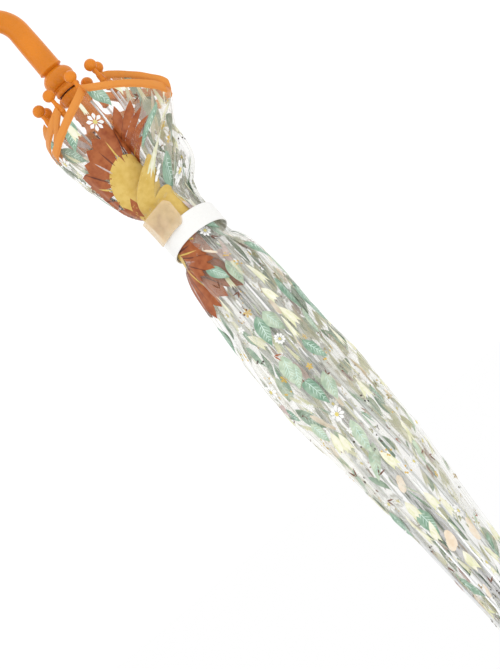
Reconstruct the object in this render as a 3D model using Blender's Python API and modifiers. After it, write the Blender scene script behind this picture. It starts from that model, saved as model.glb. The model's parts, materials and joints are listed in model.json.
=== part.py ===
"""A child's dome umbrella, furled, with its tip up and its crook handle down.

The shaft lies on Z and the origin is the middle of the hand grip.  Eight ribs hang from the crown.
Each rib is a straight inner rod and a springy outer rod that meet at the stretcher's pivot.  A
stretcher is as long as the inner rod, so the runner slides up the shaft as the ribs swing out.
Pieces that repeat round the shaft are modelled at azimuth 0, with +X pointing away from the shaft.
"""

import math

import bmesh
import bpy
from mathutils import Matrix, Vector

# Driving dimensions, in metres and degrees
RIB_COUNT = 8
RIB_STEP = 360.0 / RIB_COUNT
FIRST_RIB_AZIMUTH = -60.0
CATCH_AZIMUTH = FIRST_RIB_AZIMUTH + 2.5 * RIB_STEP

PIN_RADIUS = 0.0095
CROWN_Z = 0.551
RIB_SPAN = 0.2355
OPEN_ANGLE = 60.0
FLEX_ANGLE = 22.0
JOINT_Z = CROWN_Z - RIB_SPAN
RUNNER_Z = CROWN_Z - 2.0 * RIB_SPAN
RUNNER_TRAVEL = 2.0 * RIB_SPAN * (1.0 - math.cos(math.radians(OPEN_ANGLE)))

GAP = 0.0003
MERGE = 0.000005

SHAFT_RADIUS = 0.00475
SHAFT_WALL = 0.0008
SHAFT_BOTTOM = -0.0097
SHAFT_TOP = 0.572
SOCKET_RADIUS = SHAFT_RADIUS + GAP

BULB_Z = 0.030
CROOK_RADIUS = 0.025
CROOK_TURN_Z = -0.015
CROOK_END_Z = -0.003
CROOK_THICKNESS = 0.0080

RUNNER_BOTTOM = 0.0430
RUNNER_TOP = RUNNER_Z + 0.0060
CATCH_LENGTH = 0.030
CATCH_NOSE = 0.010
LOWER_CATCH_FACE = RUNNER_TOP + 0.0006
UPPER_CATCH_FACE = RUNNER_BOTTOM + RUNNER_TRAVEL - 0.0006
STOP_PIN_RADIUS = 0.0009
STOP_PIN_Z = RUNNER_TOP + RUNNER_TRAVEL + STOP_PIN_RADIUS + 0.0012

EYE_RADIUS = 0.0019
EYE_HOLE = 0.00085
EYE_WIDTH = 0.0016
WIRE_RADIUS = 0.0005
GROOVE_RADIUS = 0.0008
SLOT_WIDTH = 0.0023

ROD_OFFSET = 0.0035
INNER_ROD_RADIUS = 0.0011
OUTER_ROD_RADIUS = 0.0010
STRETCHER_RADIUS = 0.0010
INNER_BOW = 0.006
OUTER_BOW = 0.004
OUTER_BOW_END_Z = 0.190

FLARE_TOP_Z = 0.150
FLARE_END_Z = 0.062
FLARE_RADIUS = 0.027
TIP_BALL_Z = 0.040
TIP_BALL_RADIUS = 0.0046

STRAP_Z = 0.179
STRAP_HALF_HEIGHT = 0.008
STRAP_INNER_RADIUS = 0.0209
STRAP_THICKNESS = 0.0010
TAB_THICKNESS = 0.0009
TAB_HINGE_AZIMUTH = FIRST_RIB_AZIMUTH + 25.0
TAB_SPAN = 62.0
TAB_BOTTOM = STRAP_Z - 0.0245
TAB_TOP = STRAP_Z - 0.0040

CANOPY_THICKNESS = 0.0035
CANOPY_SIDE_GAP = 0.0030
# Height and radius of the furled canopy, from the hem up to the crown
CANOPY_OUTLINE = [
    (0.062, 0.0440),
    (0.078, 0.0480),
    (0.104, 0.0410),
    (0.121, 0.0360),
    (0.139, 0.0305),
    (0.147, 0.0245),
    (0.1535, 0.0204),
    (0.1895, 0.0204),
    (0.203, 0.0255),
    (0.220, 0.0285),
    (0.260, 0.0310),
    (0.313, 0.0330),
    (0.318, 0.0330),
    (0.370, 0.0320),
    (0.430, 0.0270),
    (0.490, 0.0205),
    (0.538, 0.0192),
]


# Scene and mesh helpers


def clear_scene():
    for obj in list(bpy.data.objects):
        bpy.data.objects.remove(obj, do_unlink=True)


def make_collection(name):
    collection = bpy.data.collections.new(name)
    bpy.context.scene.collection.children.link(collection)
    return collection


def make_material(name, color, roughness, metallic=0.0, alpha=1.0):
    material = bpy.data.materials.new(name)
    material.use_nodes = True
    shader = material.node_tree.nodes["Principled BSDF"]
    shader.inputs["Base Color"].default_value = (*color, 1.0)
    shader.inputs["Roughness"].default_value = roughness
    shader.inputs["Metallic"].default_value = metallic
    shader.inputs["Alpha"].default_value = alpha
    return material


def guide(data):
    """Put a mesh or curve in the scene as a helper that is not a part of the object."""
    obj = bpy.data.objects.new("guide", data)
    obj.hide_render = True
    obj.display_type = "WIRE"
    GUIDES.objects.link(obj)
    return obj


def bake(obj):
    """Return a helper's evaluated mesh, welded and facing out, and remove the helper."""
    bpy.context.view_layer.update()
    graph = bpy.context.evaluated_depsgraph_get()
    mesh = bpy.data.meshes.new_from_object(obj.evaluated_get(graph), depsgraph=graph)
    bpy.data.objects.remove(obj, do_unlink=True)
    work = bmesh.new()
    work.from_mesh(mesh)
    bmesh.ops.remove_doubles(work, verts=work.verts, dist=MERGE)
    bmesh.ops.dissolve_degenerate(work, edges=work.edges, dist=MERGE)
    bmesh.ops.recalc_face_normals(work, faces=work.faces)
    work.to_mesh(mesh)
    work.free()
    return mesh


def turned(outline, steps):
    """Turn an (r, z) outline about Z.  A ring's outline repeats its first point at its end."""
    closed = outline[0] == outline[-1]
    points = outline[:-1] if closed else outline
    edges = [(i, i + 1) for i in range(len(points) - 1)]
    if closed:
        edges.append((len(points) - 1, 0))
    mesh = bpy.data.meshes.new("outline")
    mesh.from_pydata([(r, 0.0, z) for r, z in points], edges, [])
    obj = guide(mesh)
    screw = obj.modifiers.new("turn", "SCREW")
    screw.steps = steps
    screw.render_steps = steps
    screw.use_merge_vertices = True
    screw.merge_threshold = MERGE
    return bake(obj)


def rod(points, radius, bevel_resolution=1, scales=None):
    """A round bar along points, with a bevel_depth that scales along the way."""
    curve = bpy.data.curves.new("route", "CURVE")
    curve.dimensions = "3D"
    curve.bevel_depth = radius
    curve.bevel_resolution = bevel_resolution
    curve.use_fill_caps = True
    spline = curve.splines.new("POLY")
    spline.points.add(len(points) - 1)
    for place, point, scale in zip(points, spline.points, scales or [1.0] * len(points)):
        point.co = (*place, 1.0)
        point.radius = scale
    return bake(guide(curve))


def primitive(build, **options):
    mesh = bpy.data.meshes.new("primitive")
    work = bmesh.new()
    build(work, **options)
    work.to_mesh(mesh)
    work.free()
    return mesh


def box(low, high):
    low, high = Vector(low), Vector(high)
    size = Matrix.Diagonal((*(high - low), 1.0))
    return primitive(bmesh.ops.create_cube, size=1.0, matrix=Matrix.Translation((low + high) / 2) @ size)


def cross_pin(radius, length, centre=(0.0, 0.0, 0.0), segments=10):
    """A cylinder along Y, the direction of every rib and stretcher pivot at azimuth 0."""
    lie_down = Matrix.Rotation(math.radians(90.0), 4, "X")
    return primitive(
        bmesh.ops.create_cone,
        cap_ends=True,
        segments=segments,
        radius1=radius,
        radius2=radius,
        depth=length,
        matrix=Matrix.Translation(centre) @ lie_down,
    )


def combine(base, others, operation):
    """Apply one exact Boolean for each of the other meshes, and use them up."""
    body = guide(base)
    tools = [guide(other) for other in others]
    for tool in tools:
        step = body.modifiers.new(operation.lower(), "BOOLEAN")
        step.operation = operation
        step.solver = "EXACT"
        step.object = tool
    mesh = bake(body)
    for tool in tools:
        bpy.data.objects.remove(tool, do_unlink=True)
    return mesh


def moved(mesh, matrix):
    copy = mesh.copy()
    copy.transform(matrix)
    return copy


def around(mesh, azimuths):
    return [moved(mesh, Matrix.Rotation(math.radians(azimuth), 4, "Z")) for azimuth in azimuths]


def torus(major, minor, height, steps=24, sides=6):
    turn = 2.0 * math.pi / sides
    outline = [
        (major + minor * math.cos(-k * turn), height + minor * math.sin(-k * turn)) for k in range(sides)
    ]
    return turned(outline + outline[:1], steps)


def polar(radius, azimuth, z):
    angle = math.radians(azimuth)
    return Vector((radius * math.cos(angle), radius * math.sin(angle), z))


def swing(point, pivot, degrees):
    """Swing an (r, z) point outwards about a pivot in the rib's own plane."""
    angle = math.radians(degrees)
    across, up = point[0] - pivot[0], point[1] - pivot[1]
    return (
        pivot[0] + across * math.cos(angle) - up * math.sin(angle),
        pivot[1] + across * math.sin(angle) + up * math.cos(angle),
    )


def smooth(value):
    value = min(max(value, 0.0), 1.0)
    return value * value * (3.0 - 2.0 * value)


def place(name, mesh, material, origin=(0.0, 0.0, 0.0), azimuth=0.0, smooth_angle=40.0):
    """Add a part: its origin is on its joint's axis, and it is turned to its own azimuth."""
    mesh.materials.clear()
    mesh.materials.append(material)
    mesh.shade_smooth()
    mesh.set_sharp_from_angle(angle=math.radians(smooth_angle))
    obj = bpy.data.objects.new(name, mesh)
    obj.location = Matrix.Rotation(math.radians(azimuth), 4, "Z") @ Vector(origin)
    obj.rotation_euler = (0.0, 0.0, math.radians(azimuth))
    PARTS.objects.link(obj)
    return obj


# Shaft, handle, crown and ferrule


def catch_slot(low, high):
    half = 0.0016
    return box((0.0022, -half, low), (0.0070, half, high))


def make_shaft(material):
    inner = SHAFT_RADIUS - SHAFT_WALL
    outline = [
        (SHAFT_RADIUS, SHAFT_TOP),
        (SHAFT_RADIUS, SHAFT_BOTTOM),
        (inner, SHAFT_BOTTOM),
        (inner, SHAFT_TOP),
        (SHAFT_RADIUS, SHAFT_TOP),
    ]
    slots = [
        catch_slot(LOWER_CATCH_FACE - 0.001, LOWER_CATCH_FACE + CATCH_NOSE + 0.001),
        catch_slot(UPPER_CATCH_FACE - CATCH_NOSE - 0.001, UPPER_CATCH_FACE + 0.001),
    ]
    cutters = [around(slot, [CATCH_AZIMUTH])[0] for slot in slots]
    cross_hole = cross_pin(STOP_PIN_RADIUS + GAP / 2, 0.02, (0.0, 0.0, STOP_PIN_Z))
    cutters += around(cross_hole, [CATCH_AZIMUTH])
    place("shaft_tube", combine(turned(outline, 24), cutters, "DIFFERENCE"), material)


def make_handle(material):
    socket_floor, throat = -0.010, BULB_Z + 0.004
    lip = BULB_Z + 0.0115
    outline = [
        (0.0, socket_floor),
        (SOCKET_RADIUS, socket_floor),
        (SOCKET_RADIUS, throat),
        (0.0075, lip - 0.0012),
        (0.0078, lip),
        (0.0093, lip),
        (0.0098, lip - 0.0014),
        (0.0095, lip - 0.0030),
        (0.0108, BULB_Z + 0.0064),
        (0.0117, BULB_Z + 0.0030),
        (0.0119, BULB_Z),
        (0.0116, BULB_Z - 0.0034),
        (0.0106, BULB_Z - 0.0066),
        (0.0091, BULB_Z - 0.0090),
        (0.0087, BULB_Z - 0.0110),
        (0.0086, 0.0),
        (0.0083, CROOK_TURN_Z + 0.001),
        (0.0, CROOK_TURN_Z + 0.001),
    ]
    bend_steps = 14
    route = [(0.0, 0.0, CROOK_TURN_Z + 0.0025)]
    for step in range(bend_steps + 1):
        angle = math.pi * step / bend_steps
        across = CROOK_RADIUS * (1.0 - math.cos(angle))
        route.append((across, 0.0, CROOK_TURN_Z - CROOK_RADIUS * math.sin(angle)))
    scales = [1.0 - 0.07 * smooth(k / bend_steps) for k in range(len(route))]
    end_radius = CROOK_THICKNESS * scales[-1]
    for degrees in (0.0, 30.0, 55.0, 78.0):
        angle = math.radians(degrees)
        route.append((2 * CROOK_RADIUS, 0.0, CROOK_END_Z - end_radius + end_radius * math.sin(angle)))
        scales.append(scales[-1] if degrees == 0.0 else end_radius / CROOK_THICKNESS * math.cos(angle))
    crook = rod(route, CROOK_THICKNESS, bevel_resolution=5, scales=scales)
    place("handle", combine(turned(outline, 28), [crook], "UNION"), material)


def eye_slot(top, bottom):
    """A radial slot that an eye turns in, from just outside the hub's bore to past its rim."""
    return box((PIN_RADIUS - EYE_RADIUS - GAP, -SLOT_WIDTH / 2, bottom), (0.014, SLOT_WIDTH / 2, top))


def rib_azimuths():
    return [FIRST_RIB_AZIMUTH + RIB_STEP * index for index in range(RIB_COUNT)]


def make_crown(plastic, wire):
    rim, top = 0.0120, CROWN_Z + 0.0068
    outline = [
        (0.0085, top),
        (0.0110, top - 0.0010),
        (rim, top - 0.0026),
        (rim, CROWN_Z - 0.0048),
        (rim - 0.0008, CROWN_Z - 0.0056),
        (SOCKET_RADIUS, CROWN_Z - 0.0056),
        (SOCKET_RADIUS, top),
        (0.0085, top),
    ]
    slots = around(eye_slot(CROWN_Z + 0.0024, CROWN_Z - 0.0070), rib_azimuths())
    groove = torus(PIN_RADIUS, GROOVE_RADIUS, CROWN_Z)
    place("crown_notch", combine(turned(outline, 32), slots + [groove], "DIFFERENCE"), plastic)
    place("crown_wire", torus(PIN_RADIUS, WIRE_RADIUS, CROWN_Z), wire)


def make_ferrule(material):
    base, ceiling, top = CROWN_Z + 0.0080, SHAFT_TOP + 0.0005, 0.600
    outline = [
        (0.0, top),
        (0.0034, top),
        (0.0043, top - 0.0012),
        (0.0052, top - 0.0120),
        (0.0062, top - 0.0280),
        (0.0070, top - 0.0320),
        (0.0104, base + 0.0024),
        (0.0107, base),
        (SOCKET_RADIUS, base),
        (SOCKET_RADIUS, ceiling),
        (0.0, ceiling),
    ]
    place("ferrule_tip", turned(outline, 24), material)


# Runner, catches and stop pin


def make_runner(plastic, wire):
    bore, sleeve, rim = SHAFT_RADIUS + 0.0004, 0.0085, 0.0120
    outline = [
        (0.0100, RUNNER_TOP),
        (rim, RUNNER_TOP - 0.0018),
        (rim, RUNNER_Z - 0.0045),
        (sleeve + 0.0006, RUNNER_Z - 0.0085),
        (sleeve, RUNNER_Z - 0.0110),
        (sleeve, RUNNER_BOTTOM + 0.0075),
        (sleeve + 0.0010, RUNNER_BOTTOM + 0.0060),
        (sleeve + 0.0010, RUNNER_BOTTOM + 0.0010),
        (sleeve, RUNNER_BOTTOM),
        (bore, RUNNER_BOTTOM),
        (bore, RUNNER_TOP),
        (0.0100, RUNNER_TOP),
    ]
    slots = around(eye_slot(RUNNER_Z + 0.0080, RUNNER_Z - 0.0024), rib_azimuths())
    groove = torus(PIN_RADIUS, GROOVE_RADIUS, RUNNER_Z)
    keyway = box((0.002, -0.0020, RUNNER_BOTTOM - 0.002), (0.0072, 0.0020, RUNNER_TOP + 0.002))
    cutters = slots + [groove] + around(keyway, [CATCH_AZIMUTH])
    place("runner", combine(turned(outline, 32), cutters, "DIFFERENCE"), plastic)
    place("runner_wire", torus(PIN_RADIUS, WIRE_RADIUS, RUNNER_Z), wire)


def catch_mesh(direction):
    """A leaf spring in the shaft: its pivot is its origin and its nose points to +X.

    direction is -1 where the leaf hangs from its pivot and +1 where it stands on it.
    """
    end, nose = CATCH_LENGTH, CATCH_NOSE
    outline = [(-0.0004, 0.0), (0.0004, 0.0), (0.0004, end - nose), (0.0044, end - 0.002)]
    outline += [(0.0044, end), (-0.0004, end)]
    curve = bpy.data.curves.new("leaf", "CURVE")
    curve.dimensions = "2D"
    curve.fill_mode = "BOTH"
    curve.extrude = 0.0012
    spline = curve.splines.new("POLY")
    spline.points.add(len(outline) - 1)
    spline.use_cyclic_u = True
    for point, (across, along) in zip(spline.points, outline):
        point.co = (across, direction * along, 0.0, 1.0)
    stand_up = Matrix.Rotation(math.radians(90.0), 4, "X")
    return moved(bake(guide(curve)), stand_up)


def make_catches(material):
    hinge_radius = 0.0025
    lower = (hinge_radius, 0.0, LOWER_CATCH_FACE + CATCH_LENGTH)
    upper = (hinge_radius, 0.0, UPPER_CATCH_FACE - CATCH_LENGTH)
    place("lower_catch", catch_mesh(-1), material, lower, CATCH_AZIMUTH)
    place("upper_catch", catch_mesh(1), material, upper, CATCH_AZIMUTH)


def make_stop_pin(material):
    pin = cross_pin(STOP_PIN_RADIUS, 0.0140, segments=12)
    place("stop_pin", pin, material, (0.0, 0.0, STOP_PIN_Z), CATCH_AZIMUTH)


# Ribs, stretchers and tips, modelled in the rib's own plane


def rod_distance(z):
    """Distance of a rib's rods from the shaft's axis: each is bowed, and the hem end flares out."""
    straight = PIN_RADIUS + ROD_OFFSET
    if z > JOINT_Z:
        return straight + INNER_BOW * math.sin(math.pi * (CROWN_Z - z) / RIB_SPAN)
    if z > OUTER_BOW_END_Z:
        return straight + OUTER_BOW * math.sin(math.pi * (JOINT_Z - z) / (JOINT_Z - OUTER_BOW_END_Z))
    share = (FLARE_TOP_Z - z) / (FLARE_TOP_Z - FLARE_END_Z)
    return straight + (FLARE_RADIUS - straight) * smooth(share)


def inner_rib_mesh():
    """Origin at the crown pivot, with the stretcher's rivet one span below it."""
    rivet_at = (0.0, 0.0, -RIB_SPAN)
    route = [(0.0, 0.0, -0.0013), (0.0003, 0.0, -0.0065), (0.0019, 0.0, -0.0125)]
    bends, first = 6, 0.0200
    for k in range(bends + 1):
        depth = first + (RIB_SPAN - first) * k / bends
        route.append((rod_distance(CROWN_Z - depth) - PIN_RADIUS, 0.0, -depth))
    route.append((ROD_OFFSET, 0.0, -RIB_SPAN - 0.0010))
    tab_low = (-0.0024, -EYE_WIDTH / 2, -RIB_SPAN - 0.0024)
    tab_high = (0.0030, EYE_WIDTH / 2, -RIB_SPAN + 0.0024)
    pieces = [
        cross_pin(EYE_RADIUS, EYE_WIDTH, segments=12),
        box(tab_low, tab_high),
        cross_pin(0.00075, 0.0054, rivet_at, segments=8),
    ]
    solid = combine(rod(route, INNER_ROD_RADIUS), pieces, "UNION")
    return combine(solid, [cross_pin(EYE_HOLE, 0.01, segments=8)], "DIFFERENCE")


def stretcher_mesh():
    """Origin at the rivet, with a fork there and the runner's eye one span below it."""
    runner_pin = (0.0, 0.0, -RIB_SPAN)
    fork_inner, fork_outer = EYE_WIDTH / 2 + GAP, EYE_WIDTH / 2 + GAP + 0.0010
    route = [(0.0, 0.0, -0.0070), (0.0, 0.0, -RIB_SPAN + 0.0013)]
    pieces = [
        box((-0.0018, -fork_outer, -0.0080), (0.0018, fork_outer, 0.0019)),
        cross_pin(EYE_RADIUS, EYE_WIDTH, runner_pin, segments=12),
    ]
    cutters = [
        box((-0.0030, -fork_inner, -0.0062), (0.0030, fork_inner, 0.0030)),
        cross_pin(0.00105, 0.01, segments=8),
        cross_pin(EYE_HOLE, 0.01, runner_pin, segments=8),
    ]
    return combine(combine(rod(route, STRETCHER_RADIUS), pieces, "UNION"), cutters, "DIFFERENCE")


def outer_rib_mesh():
    """Origin at the rivet: a springy rod that starts below it and flares out at the hem."""
    bends = 6
    heights = [JOINT_Z - 0.0045]
    heights += [JOINT_Z + (OUTER_BOW_END_Z - JOINT_Z) * k / bends for k in range(1, bends + 1)]
    heights += [FLARE_TOP_Z + (FLARE_END_Z - FLARE_TOP_Z) * k / bends for k in range(bends + 1)]
    heights.append(TIP_BALL_Z + 0.0105)
    route = [(rod_distance(z) - PIN_RADIUS, 0.0, z - JOINT_Z) for z in heights]
    return rod(route, OUTER_ROD_RADIUS)


def tip_mesh():
    """A moulded tip with its origin at the ball's centre and a socket for the rod above it."""
    ball, top, floor = TIP_BALL_RADIUS, 0.0220, 0.0100
    socket = OUTER_ROD_RADIUS + GAP
    outline = [(0.0, floor), (socket, floor), (socket, top), (0.0022, top), (0.0025, top - 0.0010)]
    outline += [(0.0025, 0.0090), (0.0017, 0.0070), (0.0017, 0.0046)]
    for degrees in (62.0, 35.0, 8.0, -20.0, -48.0, -72.0):
        angle = math.radians(degrees)
        outline.append((ball * math.cos(angle), ball * math.sin(angle)))
    outline.append((0.0, -ball))
    return turned(outline, 10)


# Canopy and strap


def outline_radius(z):
    for (low_z, low_r), (high_z, high_r) in zip(CANOPY_OUTLINE, CANOPY_OUTLINE[1:]):
        if z <= high_z:
            return low_r + (high_r - low_r) * (z - low_z) / (high_z - low_z)
    return CANOPY_OUTLINE[-1][1]


def gore_section(z):
    """One gore's section between two rib planes: inner and outer edge, three points each."""
    outer = outline_radius(z)
    half = math.radians(RIB_STEP / 2)
    points = []
    for radius, order in ((outer - CANOPY_THICKNESS, (-1, 0, 1)), (outer, (1, 0, -1))):
        lean = half - math.asin(CANOPY_SIDE_GAP / radius)
        for side in order:
            points.append((radius * math.cos(half + side * lean), radius * math.sin(half + side * lean), z))
    return points


def gore_mesh(bottom, top, origin):
    """A closed shell between two heights, lofted through its sections."""
    heights = [bottom] + [z for z, _ in CANOPY_OUTLINE if bottom < z < top] + [top]
    work = bmesh.new()
    rings = [[work.verts.new(Vector(p) - Vector(origin)) for p in gore_section(z)] for z in heights]
    for lower, upper in zip(rings, rings[1:]):
        for k in range(len(lower)):
            after = (k + 1) % len(lower)
            work.faces.new((lower[k], lower[after], upper[after], upper[k]))
    for ring in (rings[0], rings[-1]):
        work.faces.new((ring[0], ring[1], ring[4], ring[5]))
        work.faces.new((ring[1], ring[2], ring[3], ring[4]))
    bmesh.ops.recalc_face_normals(work, faces=work.faces)
    mesh = bpy.data.meshes.new("gore")
    work.to_mesh(mesh)
    work.free()
    return mesh


def make_ribs(materials):
    crown_pin, rivet = (PIN_RADIUS, 0.0, CROWN_Z), (PIN_RADIUS, 0.0, JOINT_Z)
    upper_axis = swing((0.0, CROWN_Z), (PIN_RADIUS, CROWN_Z), -OPEN_ANGLE)
    lower_axis = swing(upper_axis, (PIN_RADIUS, JOINT_Z), FLEX_ANGLE)
    upper_origin = (upper_axis[0], 0.0, upper_axis[1])
    lower_origin = (lower_axis[0], 0.0, lower_axis[1])
    hem, crown_end = CANOPY_OUTLINE[0][0], CANOPY_OUTLINE[-1][0]
    pieces = [
        ("rib_inner", inner_rib_mesh(), materials["rib_steel"], crown_pin),
        ("rib_outer", outer_rib_mesh(), materials["rib_steel"], rivet),
        ("stretcher", stretcher_mesh(), materials["rib_steel"], rivet),
        ("tip", tip_mesh(), materials["orange_plastic"], (FLARE_RADIUS, 0.0, TIP_BALL_Z)),
        ("gore_upper", gore_mesh(JOINT_Z + 0.001, crown_end, upper_origin), materials["film"], upper_origin),
        ("gore_lower", gore_mesh(hem, JOINT_Z - 0.001, lower_origin), materials["film"], lower_origin),
    ]
    for index, azimuth in enumerate(rib_azimuths()):
        for name, mesh, material, origin in pieces:
            place(f"{name}_{index + 1}", mesh, material, origin, azimuth)


def make_strap(band, clear):
    low, high = STRAP_Z - STRAP_HALF_HEIGHT, STRAP_Z + STRAP_HALF_HEIGHT
    outer = STRAP_INNER_RADIUS + STRAP_THICKNESS
    outline = [(outer, high), (outer, low), (STRAP_INNER_RADIUS, low), (STRAP_INNER_RADIUS, high)]
    place("strap", turned(outline + outline[:1], 32), band)

    inner = outer + GAP
    steps = 7
    work = bmesh.new()
    hinge = Vector((inner, 0.0, (TAB_BOTTOM + TAB_TOP) / 2))
    rings = []
    for step in range(steps + 1):
        azimuth = -TAB_SPAN * step / steps
        corners = [(inner, TAB_BOTTOM), (inner + TAB_THICKNESS, TAB_BOTTOM)]
        corners += [(inner + TAB_THICKNESS, TAB_TOP), (inner, TAB_TOP)]
        rings.append([work.verts.new(polar(r, azimuth, z) - hinge) for r, z in corners])
    for near, far in zip(rings, rings[1:]):
        for k in range(4):
            work.faces.new((near[k], near[(k + 1) % 4], far[(k + 1) % 4], far[k]))
    for ring in (rings[0], rings[-1]):
        work.faces.new(ring)
    bmesh.ops.recalc_face_normals(work, faces=work.faces)
    mesh = bpy.data.meshes.new("tab")
    work.to_mesh(mesh)
    work.free()
    place("strap_tab", mesh, clear, hinge, TAB_HINGE_AZIMUTH)


def make_umbrella():
    materials = {
        "orange_plastic": make_material("orange_plastic", (0.78, 0.25, 0.03), 0.35),
        "shaft_steel": make_material("shaft_steel", (0.60, 0.60, 0.61), 0.30, metallic=1.0),
        "rib_steel": make_material("rib_steel", (0.72, 0.73, 0.74), 0.35, metallic=1.0),
        "film": make_material("film", (0.88, 0.92, 0.88), 0.12, alpha=0.35),
        "strap_white": make_material("strap_white", (0.90, 0.90, 0.89), 0.6),
        "strap_clear": make_material("strap_clear", (0.86, 0.80, 0.68), 0.35, alpha=0.7),
    }
    make_handle(materials["orange_plastic"])
    make_shaft(materials["shaft_steel"])
    make_crown(materials["orange_plastic"], materials["rib_steel"])
    make_ferrule(materials["orange_plastic"])
    make_runner(materials["orange_plastic"], materials["rib_steel"])
    make_catches(materials["rib_steel"])
    make_stop_pin(materials["rib_steel"])
    make_ribs(materials)
    make_strap(materials["strap_white"], materials["strap_clear"])


clear_scene()
PARTS = make_collection("childrens_umbrella")
GUIDES = make_collection("guides")
make_umbrella()
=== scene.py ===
"""Finished look of a child's clear dome umbrella, furled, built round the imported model.

Each gore of film is two sheets that meet at its ribs' flex joints.  A sheet is worked out in the
frame of its first rib, where +X points away from the shaft, +Y towards the next rib and u runs
from 0 at that rib to 1 at the next one.  Printed motifs and the hem's tape lie on the same sheet.
"""

import json
import random
from math import atan2, cos, hypot, log, pi, radians, sin, sqrt

import bpy
import numpy as np
from mathutils import Matrix, Vector

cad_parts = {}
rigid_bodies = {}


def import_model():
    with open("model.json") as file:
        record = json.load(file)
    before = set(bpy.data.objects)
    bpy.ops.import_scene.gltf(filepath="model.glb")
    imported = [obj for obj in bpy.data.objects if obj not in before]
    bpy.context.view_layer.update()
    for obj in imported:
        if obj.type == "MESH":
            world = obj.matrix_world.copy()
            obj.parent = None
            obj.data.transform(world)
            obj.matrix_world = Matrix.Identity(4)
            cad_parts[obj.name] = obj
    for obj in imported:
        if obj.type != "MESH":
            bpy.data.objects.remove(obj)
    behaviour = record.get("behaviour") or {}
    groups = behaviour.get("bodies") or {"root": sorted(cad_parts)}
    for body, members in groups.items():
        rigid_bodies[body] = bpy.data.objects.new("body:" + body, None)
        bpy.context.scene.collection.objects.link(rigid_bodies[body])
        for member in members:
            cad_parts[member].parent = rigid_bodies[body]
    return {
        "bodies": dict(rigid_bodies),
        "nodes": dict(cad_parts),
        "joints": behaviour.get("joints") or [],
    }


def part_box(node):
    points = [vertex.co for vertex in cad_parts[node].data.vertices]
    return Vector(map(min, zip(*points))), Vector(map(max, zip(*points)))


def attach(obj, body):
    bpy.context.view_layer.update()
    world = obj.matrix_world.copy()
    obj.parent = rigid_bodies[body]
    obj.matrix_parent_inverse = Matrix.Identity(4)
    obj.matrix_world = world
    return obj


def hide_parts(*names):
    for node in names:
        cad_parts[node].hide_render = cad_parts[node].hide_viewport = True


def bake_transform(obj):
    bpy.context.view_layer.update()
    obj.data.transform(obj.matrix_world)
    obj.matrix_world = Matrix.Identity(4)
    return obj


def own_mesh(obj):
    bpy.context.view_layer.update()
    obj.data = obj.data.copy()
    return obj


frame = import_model()
SCENE = bpy.context.scene
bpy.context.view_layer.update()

# Joints of the frame

JOINTS = {joint["name"]: joint for joint in frame["joints"]}
RIB_COUNT = sum(1 for body in frame["bodies"] if body.startswith("rib_"))
TURN = 2.0 * pi
STEP = TURN / RIB_COUNT
OPEN = radians(max(JOINTS["open_close"]["range_deg"]))
FLEX = radians(min(JOINTS["rod_1_flex"]["range_deg"]))


def pivot_of(joint):
    """Distance from the shaft's axis and height of a joint."""
    x, y, z = JOINTS[joint]["pos_m"]
    return hypot(x, y), z


CROWN = pivot_of("open_close")
RIVET = pivot_of("rod_1_flex")
FIRST_X, FIRST_Y, _ = JOINTS["open_close"]["pos_m"]
FIRST_RIB = atan2(FIRST_Y, FIRST_X)

# Sizes, in metres unless an angle

ROD_LINE = CROWN[0] + 0.0035
INNER_BOW = 0.006
OUTER_BOW = 0.004
OUTER_BOW_END = 0.190
FLARE_TOP = 0.150
FLARE_END = 0.062
FLARE_LINE = 0.027
TIP_BALL_Z = 0.040
TIP_BALL_RADIUS = 0.0046
LINK_ABOVE = 0.010
LINK_BELOW = 0.012
LINK_RADIUS = 0.00125

BULB_Z = 0.030
CROOK_RADIUS = 0.025
CROOK_TURN_Z = -0.015
CROOK_END_Z = -0.003
CROOK_THICK = 0.0083
CROOK_THIN = 0.00744

STRAP_LOW, STRAP_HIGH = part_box("strap")
STRAP_Z = (STRAP_LOW.z + STRAP_HIGH.z) / 2.0
STRAP_HALF = (STRAP_HIGH.z - STRAP_LOW.z) / 2.0
STRAP_RADIUS = STRAP_HIGH.x
STRAP_DEPTH = 0.0010
STRAP_TILT = 0.0040
STRAP_SHIFT = -0.0022
STRAP_RIPPLE = 0.0004
STRAP_HOLD = 0.014
STRAP_FADE = 0.022
TAB_SPAN = radians(62.0)

FILM_TOP = CROWN[1] - 0.002
FILM_CLEARANCE = 0.0016
FILM_CROWN_RADIUS = 0.0130
FLEX_GAP = 0.0015
FILM_ACROSS = 44
FILM_UPPER_ROWS = 56
FILM_LOWER_ROWS = 64
FILM_UV_WIDTH = 0.08
HEM_CORNER_Z = 0.0500
TAPE_WIDTH = 0.0064
TAPE_HALF = 0.00038
STITCH_PITCH = 0.0026
STITCH_LENGTH = 0.0017
STITCH_HALF = 0.00022
STITCH_DROP = 0.0013

# The pleats of the furled film: a share, an angle or a depth in metres for each effect
PLEAT_FLARE_TOP = 0.156
PLEAT_FLARE_DEPTH = 0.068
STRAP_GRIP = 0.85
SWELL_SHARE = 0.045
LEAN_ANGLE = 0.07
SAG_SHARE = 1.15
FOLD_POWER = 0.62
FOLD_BULGE = 0.0030
FOLD_RIPPLE = 0.00075
CREASE_RIPPLE = 0.00022
RIDGE_REACH = 0.036
SLIP = 0.0030
TOP_SLIP = 0.0020

# The print: its width against the film's, and how far its layers stand off the film
PRINT_SQUEEZE = 0.88
HIDDEN_SQUEEZE = 0.42
PRINT_LIFT = 0.00012
MOTIF_STEP = 0.000070
INK_STEP = 0.000014
PATCH_STEP = 0.0000015
SMALLEST_PATCH = 2e-9

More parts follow.
